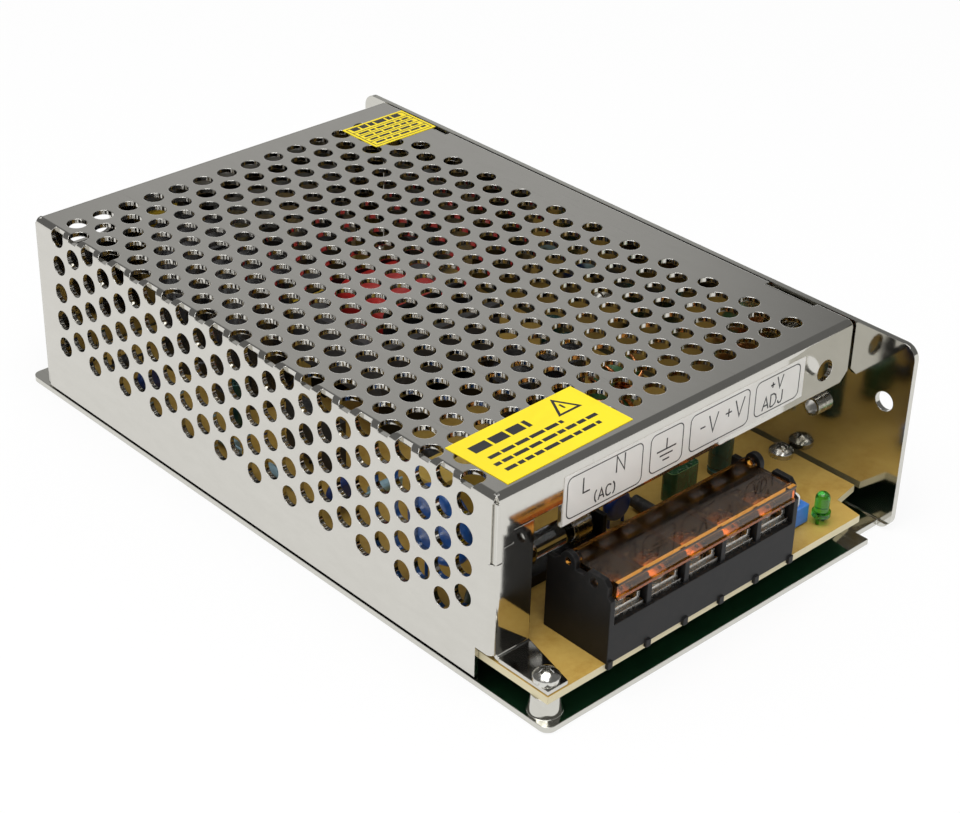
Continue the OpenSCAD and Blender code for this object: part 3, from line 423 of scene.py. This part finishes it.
mouldedLooks = {
    "blackMoulding": {
        "color": (0.006, 0.006, 0.0065), "second": (0.009, 0.008, 0.008),
        "paintedEdgeHighlightColor": (0.03, 0.03, 0.03), "roughness": 0.42, "shine": 0.22, "dust": 0.05,
    },
    "darkEpoxy": {
        "color": (0.02, 0.02, 0.02), "second": (0.03, 0.03, 0.03),
        "paintedEdgeHighlightColor": (0.06, 0.06, 0.06), "roughness": 0.5, "dust": 0.15,
    },
    "blueEpoxy": {
        "color": (0.02, 0.13, 0.48), "second": (0.015, 0.10, 0.38),
        "paintedEdgeHighlightColor": (0.05, 0.2, 0.6), "roughness": 0.28, "coat": 0.4,
    },
    "darkBlueEpoxy": {
        "color": (0.01, 0.04, 0.2), "second": (0.01, 0.03, 0.15),
        "paintedEdgeHighlightColor": (0.03, 0.08, 0.3), "roughness": 0.3, "coat": 0.4,
    },
    "greenBlackDisc": {
        "color": (0.035, 0.05, 0.03), "second": (0.02, 0.03, 0.02),
        "paintedEdgeHighlightColor": (0.06, 0.08, 0.05), "roughness": 0.45,
    },
    "bluePlastic": {
        "color": (0.05, 0.2, 0.62), "second": (0.04, 0.16, 0.5),
        "paintedEdgeHighlightColor": (0.15, 0.35, 0.8), "roughness": 0.35,
    },
    "whitePlastic": {
        "color": (0.78, 0.78, 0.74), "second": (0.7, 0.7, 0.66),
        "paintedEdgeHighlightColor": (0.9, 0.9, 0.88), "roughness": 0.4,
    },
    "filmBox": {
        "color": (0.62, 0.42, 0.08), "second": (0.55, 0.36, 0.07),
        "paintedEdgeHighlightColor": (0.75, 0.55, 0.2), "roughness": 0.35,
    },
    "ferrite": {
        "color": (0.055, 0.055, 0.058), "second": (0.08, 0.08, 0.08),
        "paintedEdgeHighlightColor": (0.14, 0.14, 0.14), "roughness": 0.6, "bump": 0.5,
    },
    "redTape": {
        "color": (0.62, 0.03, 0.025), "second": (0.5, 0.02, 0.02),
        "paintedEdgeHighlightColor": (0.7, 0.1, 0.08), "roughness": 0.3, "coat": 0.3,
    },
    "yellowTape": {
        "color": (0.85, 0.6, 0.05), "second": (0.75, 0.5, 0.04),
        "paintedEdgeHighlightColor": (0.9, 0.75, 0.2), "roughness": 0.3, "coat": 0.3,
    },
    "blackSleeve": {
        "color": (0.018, 0.018, 0.02), "second": (0.024, 0.024, 0.026),
        "paintedEdgeHighlightColor": (0.05, 0.05, 0.05), "roughness": 0.25, "coat": 0.3,
    },
    "greenSleeve": {
        "color": (0.006, 0.045, 0.035), "second": (0.005, 0.03, 0.026),
        "paintedEdgeHighlightColor": (0.05, 0.2, 0.2), "roughness": 0.25, "coat": 0.3,
    },
    "greenFilm": {
        "color": (0.02, 0.075, 0.03), "second": (0.015, 0.055, 0.022),
        "paintedEdgeHighlightColor": (0.25, 0.45, 0.15), "roughness": 0.25, "coat": 0.4,
    },
    "resistorBody": {
        "color": (0.33, 0.52, 0.62), "second": (0.28, 0.46, 0.56),
        "paintedEdgeHighlightColor": (0.5, 0.65, 0.72), "roughness": 0.4,
    },
    "coreCoat": {
        "color": (0.07, 0.2, 0.08), "second": (0.05, 0.15, 0.06),
        "paintedEdgeHighlightColor": (0.15, 0.3, 0.15), "roughness": 0.4,
    },
}
finishes = {name: makeMoulded(name, look) for name, look in mouldedLooks.items()}
finishes.update({name: makeSmallMetal(name, look) for name, look in smallMetals.items()})
finishes["coverSheet"] = makeSheetMetal("coverSheet", coverLook)
finishes["chassisSheet"] = makeSheetMetal("chassisSheet", chassisLook)


boardLook = {
    "color": (0.50, 0.32, 0.075), "second": (0.42, 0.25, 0.05), "trace": (0.56, 0.38, 0.10),
    "core": (0.70, 0.62, 0.40), "under": (0.02, 0.10, 0.045),
    "marksScale": 90.0, "marksSpread": 0.9,
    "fibreScale": 700.0, "fibreBand": (0.35, 0.75), "fibreShare": 0.7,
    "fineBand": (0.3, 0.7), "roughness": (0.28, 0.5), "baseRoughness": 0.35,
    "tiltLimit": 0.5,  # how far a face may lean and still be top or underside
}


def makeBoard():
    # tan laminate on top, cream cut edge, green coat underneath
    mat, tree = startMaterial("boardLaminate")
    look = boardLook
    shader = principled(tree, look["color"], 0.0, look["baseRoughness"])
    marks = useGroup(tree, handlingMarks, (-1100, 200), Scale=look["marksScale"],
        Spread=look["marksSpread"])
    fibre = useGroup(tree, rolledGrain, (-1100, 0), Stretch=(1, 1, 1), Scale=look["fibreScale"])
    tint = mixColor(tree, marks.outputs["Mask"], look["color"], look["second"], (-800, 300))
    weave = mapRange(tree, fibre.outputs["Value"], *look["fibreBand"], 0, look["fibreShare"], (-900, -50))
    tint = mixColor(tree, weave, tint, look["trace"], (-600, 300))
    geometry = addNode(tree, "ShaderNodeNewGeometry", (-900, -300))
    split = addNode(tree, "ShaderNodeSeparateXYZ", (-700, -300))
    wire(tree, geometry.outputs["Normal"], split.inputs[0])
    tilt = mathNode(tree, "ABSOLUTE", split.outputs["Z"], None, (-500, -250))
    sideMask = mathNode(tree, "LESS_THAN", tilt, look["tiltLimit"], (-300, -250))
    underMask = mathNode(tree, "LESS_THAN", split.outputs["Z"], -look["tiltLimit"], (-300, -400))
    tint = mixColor(tree, sideMask, tint, look["core"], (-300, 300))
    tint = mixColor(tree, underMask, tint, look["under"], (-100, 300))
    wire(tree, tint, shader.inputs["Base Color"])
    rough = mapRange(tree, fibre.outputs["Fine"], *look["fineBand"], *look["roughness"], (-100, 0))
    wire(tree, rough, shader.inputs["Roughness"])
    return mat


clearLook = {"ior": 1.49, "marksScale": 120.0, "marksSpread": 0.6, "smear": 0.12}


def makeClear(name, color, roughness):
    mat, tree = startMaterial(name)
    shader = principled(tree, color, 0.0, roughness)
    setInput(shader, "Transmission Weight", 1.0)
    setInput(shader, "IOR", clearLook["ior"])
    marks = useGroup(tree, handlingMarks, (-600, 0), Scale=clearLook["marksScale"],
        Spread=clearLook["marksSpread"])
    smeared = roughness + clearLook["smear"]
    rough = mapRange(tree, marks.outputs["Mask"], 0, 1, roughness, smeared, (-200, 0))
    wire(tree, rough, shader.inputs["Roughness"])
    return mat


filmLook = {"baseRoughness": 0.32, "marksScale": 60.0, "marksSpread": 0.8, "roughness": (0.3, 0.42)}


def makePrintFilm(name, color, second):
    mat, tree = startMaterial(name)
    shader = principled(tree, color, 0.0, filmLook["baseRoughness"])
    marks = useGroup(tree, handlingMarks, (-700, 200), Scale=filmLook["marksScale"],
        Spread=filmLook["marksSpread"])
    tint = mixColor(tree, marks.outputs["Mask"], color, second, (-300, 200))
    wire(tree, tint, shader.inputs["Base Color"])
    rough = mapRange(tree, marks.outputs["Mask"], 0, 1, *filmLook["roughness"], (-300, -100))
    wire(tree, rough, shader.inputs["Roughness"])
    return mat


finishes["boardLaminate"] = makeBoard()
finishes["amberClear"] = makeClear("amberClear", (0.62, 0.27, 0.045), 0.06)
finishes["fuseGlass"] = makeClear("fuseGlass", (0.92, 0.95, 0.95), 0.02)
finishes["lampEpoxy"] = makeClear("lampEpoxy", (0.10, 0.62, 0.10), 0.12)
finishes["labelFilm"] = makePrintFilm("labelFilm", (0.80, 0.78, 0.74), (0.76, 0.74, 0.70))
finishes["yellowFilm"] = makePrintFilm("yellowFilm", (0.93, 0.74, 0.01), (0.88, 0.68, 0.01))
finishes["printInk"] = makePrintFilm("printInk", (0.018, 0.018, 0.02), (0.03, 0.03, 0.03))
print("materials built:", len(finishes))


partFinish = {
    "chassis": "chassisSheet", "cover": "coverSheet", "cover_screws": "screwSteel", "side_nuts": "tinPlate",
    "board_screws": "screwSteel", "circuit_board": "boardLaminate", "terminal_label": "labelFilm",
    "front_sticker": "yellowFilm", "rear_sticker": "yellowFilm", "terminal_block": "blackMoulding",
    "terminal_cover": "amberClear", "contact_plates": "tinPlate", "trimmer_body": "bluePlastic",
    "trimmer_rotor": "whitePlastic", "indicator_led": "lampEpoxy", "fuse_holder": "blackMoulding",
    "fuse_clips": "clipBrass", "fuse_tube": "fuseGlass", "fuse_caps": "capSteel",
    "inrush_thermistor": "greenBlackDisc", "varistor": "blueEpoxy", "line_capacitor": "filmBox",
    "line_choke_core": "ferrite", "line_choke_coils": "copperWire", "line_choke_bobbin": "blackMoulding",
    "bridge_rectifier": "darkEpoxy", "bulk_capacitors": "blackSleeve", "primary_heatsink": "sinkAluminium",
    "switching_transistors": "darkEpoxy", "transformer_core": "ferrite", "transformer_winding": "redTape",
    "transformer_bobbin": "blackMoulding", "drive_transformer_core": "ferrite",
    "drive_transformer_coil": "yellowTape", "drive_transformer_bobbin": "blackMoulding",
    "output_heatsink": "sinkAluminium", "output_rectifier": "darkEpoxy", "output_choke_core": "coreCoat",
    "output_choke_coil": "copperWire", "output_capacitors": "blackSleeve", "small_capacitors": "greenSleeve",
    "disc_capacitors": "darkBlueEpoxy", "film_capacitors": "greenFilm", "resistors": "resistorBody",
    "diodes": "darkEpoxy", "control_chip": "darkEpoxy",
}
for index in range(1, 6):
    partFinish[f"terminal_screw_{index}"] = "screwSteel"
    partFinish[f"clamp_plate_{index}"] = "tinPlate"
for name, part in nodes.items():
    finish = finishes[partFinish[name]]
    for place in range(len(part.material_slots)):
        part.material_slots[place].material = finish
print("parts finished:", len(partFinish))


def onPlane(axis, level):
    # maps drawing points (u, v) onto a plane square to the axis
    if axis == "Y":
        return lambda u, v: (u, level, v)
    return lambda u, v: (u, v, level)


def addQuad(build, points):
    build.faces.new([build.verts.new(point) for point in points])


def addBar(build, where, start, end, width):
    along = Vector(end) - Vector(start)
    side = Vector((-along.y, along.x)).normalized() * width / 2
    first, last = Vector(start), Vector(end)
    corners = (first + side, first - side, last - side, last + side)
    addQuad(build, [where(corner.x, corner.y) for corner in corners])


mitreLimit = 0.4  # keeps sharp corners of a line short
cornerSteps = 5


def addLine(build, where, points, width, closed=False):
    # a drawn line of even width with mitred joints
    spots = [Vector(point) for point in points]
    count = len(spots)
    rails = []
    for index, spot in enumerate(spots):
        before = spots[index - 1] if index or closed else spot
        after = spots[(index + 1) % count] if index < count - 1 or closed else spot
        first = (spot - before).normalized() if before != spot else (after - spot).normalized()
        second = (after - spot).normalized() if after != spot else first
        middle = (first + second).normalized() if (first + second).length > 1e-6 else second
        normal = Vector((-middle.y, middle.x))
        reach = width / 2 / max(mitreLimit, abs(normal.dot(Vector((-second.y, second.x)))))
        rails.append((spot + normal * reach, spot - normal * reach))
    for index in range(count if closed else count - 1):
        (a, b), (c, d) = rails[index], rails[(index + 1) % count]
        addQuad(build, [where(p.x, p.y) for p in (a, b, d, c)])


def roundedBox(left, right, low, high, radius):
    points = []
    for cx, cy, start in ((right - radius, high - radius, 0), (left + radius, high - radius, 90),
                          (left + radius, low + radius, 180), (right - radius, low + radius, 270)):
        for step in range(cornerSteps + 1):
            angle = math.radians(start + step * 90 / cornerSteps)
            points.append((cx + radius * math.cos(angle), cy + radius * math.sin(angle)))
    return points


sharpAngle = 35  # degrees, where a piece's shading breaks


def finishPiece(name, build, looks, body="case"):
    # the build is in millimetres; looks are finish names in slot order
    bmesh.ops.scale(build, vec=(mm, mm, mm), verts=build.verts)
    bmesh.ops.recalc_face_normals(build, faces=build.faces)
    mesh = bpy.data.meshes.new(name)
    build.to_mesh(mesh)
    build.free()
    for look in looks:
        mesh.materials.append(finishes[look])
    for face in mesh.polygons:
        face.use_smooth = True
    mesh.set_sharp_from_angle(angle=math.radians(sharpAngle))
    piece = bpy.data.objects.new(name, mesh)
    bpy.context.scene.collection.objects.link(piece)
    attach(piece, body)


def boxOf(name):
    low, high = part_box(name)
    return low / mm, high / mm


glyphs = {
    "L": [[(0, 6), (0, 0), (3.2, 0)]],
    "N": [[(0, 0), (0, 6), (3.6, 0), (3.6, 6)]],
    "A": [[(0, 0), (2, 6), (4, 0)], [(0.7, 2), (3.3, 2)]],
    "C": [[(3.6, 5.2), (2.6, 6), (1.2, 6), (0.2, 4.8), (0, 3), (0.2, 1.2), (1.2, 0), (2.6, 0), (3.6, 0.8)]],
    "(": [[(1.4, 6.6), (0.4, 4.8), (0.2, 3), (0.4, 1.2), (1.4, -0.6)]],
    ")": [[(0.2, 6.6), (1.2, 4.8), (1.4, 3), (1.2, 1.2), (0.2, -0.6)]],
    "V": [[(0, 6), (2, 0), (4, 6)]],
    "+": [[(0.3, 3), (3.1, 3)], [(1.7, 1.6), (1.7, 4.4)]],
    "-": [[(0.3, 3), (2.5, 3)]],
    "D": [[(0, 0), (0, 6), (1.8, 6), (3.2, 5), (3.7, 3), (3.2, 1), (1.8, 0), (0, 0)]],
    "J": [[(2.6, 6), (2.6, 1.4), (2, 0.2), (1, 0), (0.2, 0.6), (0, 1.6)]],
}
glyphHeight = 6
glyphGap = 1.2
glyphWidths = {
    "L": 3.2, "N": 3.6, "A": 4, "C": 3.6, "(": 1.6, ")": 1.6,
    "V": 4, "+": 3.4, "-": 2.8, "D": 3.7, "J": 2.6,
}


def addLettering(build, where, letters, left, low, height, width):
    scale = height / glyphHeight
    for letter in letters:
        for stroke in glyphs[letter]:
            addLine(build, where, [(left + x * scale, low + y * scale) for x, y in stroke], width)
        left += (glyphWidths[letter] + glyphGap) * scale


labelPrint = {
    "lift": 0.015,
    "boxes": (  # left, right, bottom, top
        (-31.6, -12.4, 30.1, 38.7), (-10.3, -1.6, 30.6, 38.7),
        (0.4, 16.9, 30.9, 38.7), (18.7, 31.6, 31.2, 38.7),
    ),
    "radius": 1.3, "frame": 0.24, "stroke": 0.34,
    "words": (  # letters, left edge, base line, height
        ("L", -27.6, 34.2, 3.2), ("N", -19.2, 34.9, 3.5), ("(AC)", -24.6, 31.0, 2.2),
        ("-V", 3.0, 33.2, 3.8), ("+V", 10.0, 33.6, 3.8),
        ("+V", 22.9, 35.4, 2.6), ("ADJ", 21.0, 31.9, 2.7),
    ),
    "earth": (-5.95, 36.9, ((34.6, 2.6), (33.5, 1.75), (32.4, 0.9))),
}


def addLabelPrint(look):
    low = boxOf("terminal_label")[0]
    where = onPlane("Y", low.y - look["lift"])
    build = bmesh.new()
    for left, right, bottom, top in look["boxes"]:
        outline = roundedBox(left, right, bottom, top, look["radius"])
        addLine(build, where, outline, look["frame"], closed=True)
    for letters, left, bottom, height in look["words"]:
        addLettering(build, where, letters, left, bottom, height, look["stroke"])
    middle, top, bars = look["earth"]
    addLine(build, where, [(middle, top), (middle, bars[0][0])], look["stroke"])
    for level, half in bars:
        addLine(build, where, [(middle - half, level), (middle + half, level)], look["stroke"])
    finishPiece("labelPrint", build, ["printInk"])


addLabelPrint(labelPrint)

stickerPrint = {
    "middle": (-28.5, -56.2), "turn": 1.4,
    "title": ((-13.2, -9.0), (-8.4, -4.6), (-4.0, -0.6), (0.0, 1.0)), "titleLevel": 3.9, "titleWidth": 2.3,
    "rows": (0.2, -2.1, -4.4), "rowWidth": 0.95, "rowEnds": ((-12.6, 6.0), (-13.4, 12.8), (-13.0, 11.0)),
    "triangle": (9.6, 3.4, 3.0), "triangleWidth": 0.55, "mark": (1.2, -0.3), "markWidth": 0.5,
    "lift": 0.012, "bars": (1.4, 3.6), "gap": 0.45, "shortest": 0.6, "seed": 5,
}


def addStickerPrint(sticker):
    level = boxOf("front_sticker")[1].z + sticker["lift"]
    turn = math.radians(sticker["turn"])
    cx, cy = sticker["middle"]

    def where(u, v):
        x = cx + u * math.cos(turn) - v * math.sin(turn)
        y = cy + u * math.sin(turn) + v * math.cos(turn)
        return (x, y, level)

    chance = random.Random(sticker["seed"])
    build = bmesh.new()
    line = sticker["titleLevel"]
    for start, end in sticker["title"]:
        addBar(build, where, (start, line), (end, line), sticker["titleWidth"])
    for line, (start, end) in zip(sticker["rows"], sticker["rowEnds"]):
        while start < end - sticker["shortest"]:
            length = min(chance.uniform(*sticker["bars"]), end - start)
            addBar(build, where, (start, line), (start + length, line), sticker["rowWidth"])
            start += length + sticker["gap"]
    tx, ty, reach = sticker["triangle"]
    angles = [math.radians(degrees) for degrees in (90, 210, 330)]
    corners = [(tx + reach * math.cos(angle), ty + reach * math.sin(angle)) for angle in angles]
    addLine(build, where, corners, sticker["triangleWidth"], closed=True)
    top, bottom = sticker["mark"]
    addBar(build, where, (tx, ty + top), (tx, ty + bottom), sticker["markWidth"])
    finishPiece("frontStickerPrint", build, ["printInk"])


addStickerPrint(stickerPrint)

rearPrint = {
    "rows": (10.4, 7.9, 5.9, 3.9, 1.9), "widths": (1.5, 0.8, 0.8, 0.8, 0.8), "rule": 0.22,
    "lift": 0.012, "inset": 0.7, "margins": (1.6, 2.2, 1.4), "bars": (1.2, 3.2), "gap": 0.5,
    "ruleStep": 1.0, "ruleBelow": 9, "seed": 9,
}


def addRearPrint(look):
    low, high = boxOf("rear_sticker")
    where = onPlane("Z", high.z + look["lift"])
    chance = random.Random(look["seed"])
    build = bmesh.new()
    left, right = low.x + look["inset"], high.x - look["inset"]
    front, back = low.y + look["inset"], high.y - look["inset"]
    border = [(left, front), (right, front), (right, back), (left, back)]
    addLine(build, where, border, look["rule"], closed=True)
    first, last, limit = look["margins"]
    for row, width in zip(look["rows"], look["widths"]):
        line = low.y + row
        start = low.x + first
        while start < high.x - last:
            length = min(chance.uniform(*look["bars"]), high.x - limit - start)
            addBar(build, where, (start, line), (start + length, line), width)
            start += length + look["gap"]
        if row < look["ruleBelow"]:
            rule = line + look["ruleStep"]
            addLine(build, where, [(left, rule), (right, rule)], look["rule"])
    finishPiece("rearStickerPrint", build, ["printInk"])


addRearPrint(rearPrint)
print("labels printed")


studio = {
    "floorHalf": 6.0, "floorColor": (0.86, 0.86, 0.86), "floorGlow": 0.85, "floorSink": 0.0002,
    "fill": 0.55,
    "keySize": 0.9, "keyPower": 9.0, "keyPlace": (-0.25, -0.15, 1.0),
    "domeRadius": 4.0, "domeBase": 0.16, "domeGlow": 0.30,
    "glowDirection": (0.573, 0.683, 0.454), "glowFrom": 0.955, "domeSegments": (48, 24), "domeFoot": 0.35,
}


def seenDirectly(tree):
    # one for camera, glossy and transmission rays, so that white stays white in reflections
    path = addNode(tree, "ShaderNodeLightPath", (-400, 300))
    either = mathNode(tree, "MAXIMUM", path.outputs["Is Camera Ray"], path.outputs["Is Glossy Ray"],
        (-200, 300))
    return mathNode(tree, "MAXIMUM", either, path.outputs["Is Transmission Ray"], (0, 300))


def addWorld():
    world = bpy.data.worlds.new("studioWorld")
    bpy.context.scene.world = world
    world.use_nodes = True
    tree = world.node_tree
    tree.nodes.clear()
    out = addNode(tree, "ShaderNodeOutputWorld", (600, 0))
    lit = addNode(tree, "ShaderNodeBackground", (0, -100))
    setInput(lit, "Color", (1, 1, 1, 1))
    setInput(lit, "Strength", studio["fill"])
    seen = addNode(tree, "ShaderNodeBackground", (0, 100))
    setInput(seen, "Color", (1, 1, 1, 1))
    setInput(seen, "Strength", 1.0)
    either = seenDirectly(tree)
    mix = addNode(tree, "ShaderNodeMixShader", (300, 0))
    wire(tree, either, mix.inputs[0])
    wire(tree, lit.outputs[0], mix.inputs[1])
    wire(tree, seen.outputs[0], mix.inputs[2])
    wire(tree, mix.outputs[0], out.inputs["Surface"])


def addFloor():
    half = studio["floorHalf"]
    mesh = bpy.data.meshes.new("studioFloor")
    mesh.from_pydata([(-half, -half, 0), (half, -half, 0), (half, half, 0), (-half, half, 0)], [],
        [(0, 1, 2, 3)])
    floor = bpy.data.objects.new("studioFloor", mesh)
    floor.location.z = -studio["floorSink"]
    bpy.context.scene.collection.objects.link(floor)
    mat, tree = startMaterial("floorPaper")
    out = addNode(tree, "ShaderNodeOutputMaterial", (600, 0))
    diffuse = addNode(tree, "ShaderNodeBsdfDiffuse", (0, -100))
    setInput(diffuse, "Color", (*studio["floorColor"], 1))
    glow = addNode(tree, "ShaderNodeEmission", (0, 100))
    setInput(glow, "Strength", 1.0)
    either = seenDirectly(tree)
    share = mathNode(tree, "MULTIPLY", either, studio["floorGlow"], (150, 300))
    mix = addNode(tree, "ShaderNodeMixShader", (300, 0))
    wire(tree, share, mix.inputs[0])
    wire(tree, diffuse.outputs[0], mix.inputs[1])
    wire(tree, glow.outputs[0], mix.inputs[2])
    wire(tree, mix.outputs[0], out.inputs["Surface"])
    floor.data.materials.append(mat)


def addDome():
    # a grey studio ceiling that only shows in polished metal
    mesh = bpy.data.meshes.new("studioCeiling")
    shell = bmesh.new()
    around, upward = studio["domeSegments"]
    bmesh.ops.create_uvsphere(shell, u_segments=around, v_segments=upward, radius=studio["domeRadius"])
    low = [vert for vert in shell.verts if vert.co.z < studio["domeFoot"]]
    bmesh.ops.delete(shell, geom=low, context="VERTS")
    for face in shell.faces:
        face.normal_flip()
        face.smooth = True
    shell.to_mesh(mesh)
    shell.free()
    dome = bpy.data.objects.new("studioCeiling", mesh)
    bpy.context.scene.collection.objects.link(dome)
    mat, tree = startMaterial("ceilingGrey")
    out = addNode(tree, "ShaderNodeOutputMaterial", (600, 0))
    glow = addNode(tree, "ShaderNodeEmission", (300, 0))
    coord = addNode(tree, "ShaderNodeTexCoord", (-700, 0))
    unit = addNode(tree, "ShaderNodeVectorMath", (-500, 0), operation="NORMALIZE")
    wire(tree, coord.outputs["Object"], unit.inputs[0])
    toward = addNode(tree, "ShaderNodeVectorMath", (-300, 0), operation="DOT_PRODUCT")
    wire(tree, unit.outputs["Vector"], toward.inputs[0])
    toward.inputs[1].default_value = Vector(studio["glowDirection"]).normalized()
    spread = addNode(tree, "ShaderNodeMapRange", (-100, 0), interpolation_type="SMOOTHSTEP")
    setInput(spread, "From Min", studio["glowFrom"])
    setInput(spread, "From Max", 1.0)
    setInput(spread, "To Min", studio["domeBase"])
    setInput(spread, "To Max", studio["domeBase"] + studio["domeGlow"])
    wire(tree, toward.outputs["Value"], spread.inputs["Value"])
    wire(tree, spread.outputs["Result"], glow.inputs["Strength"])
    wire(tree, glow.outputs[0], out.inputs["Surface"])
    dome.data.materials.append(mat)
    for use in ("camera", "diffuse", "transmission", "volume_scatter", "shadow"):
        setattr(dome, "visible_" + use, False)


def addKey():
    lamp = bpy.data.lights.new("keyPanel", "AREA")
    lamp.shape = "SQUARE"
    lamp.size = studio["keySize"]
    lamp.energy = studio["keyPower"]
    key = bpy.data.objects.new("keyPanel", lamp)
    bpy.context.scene.collection.objects.link(key)
    key.location = studio["keyPlace"]
    key.rotation_mode = "QUATERNION"
    key.rotation_quaternion = (-Vector(studio["keyPlace"])).to_track_quat("-Z", "Y")


addWorld()
addFloor()
addDome()
addKey()
print("studio set")
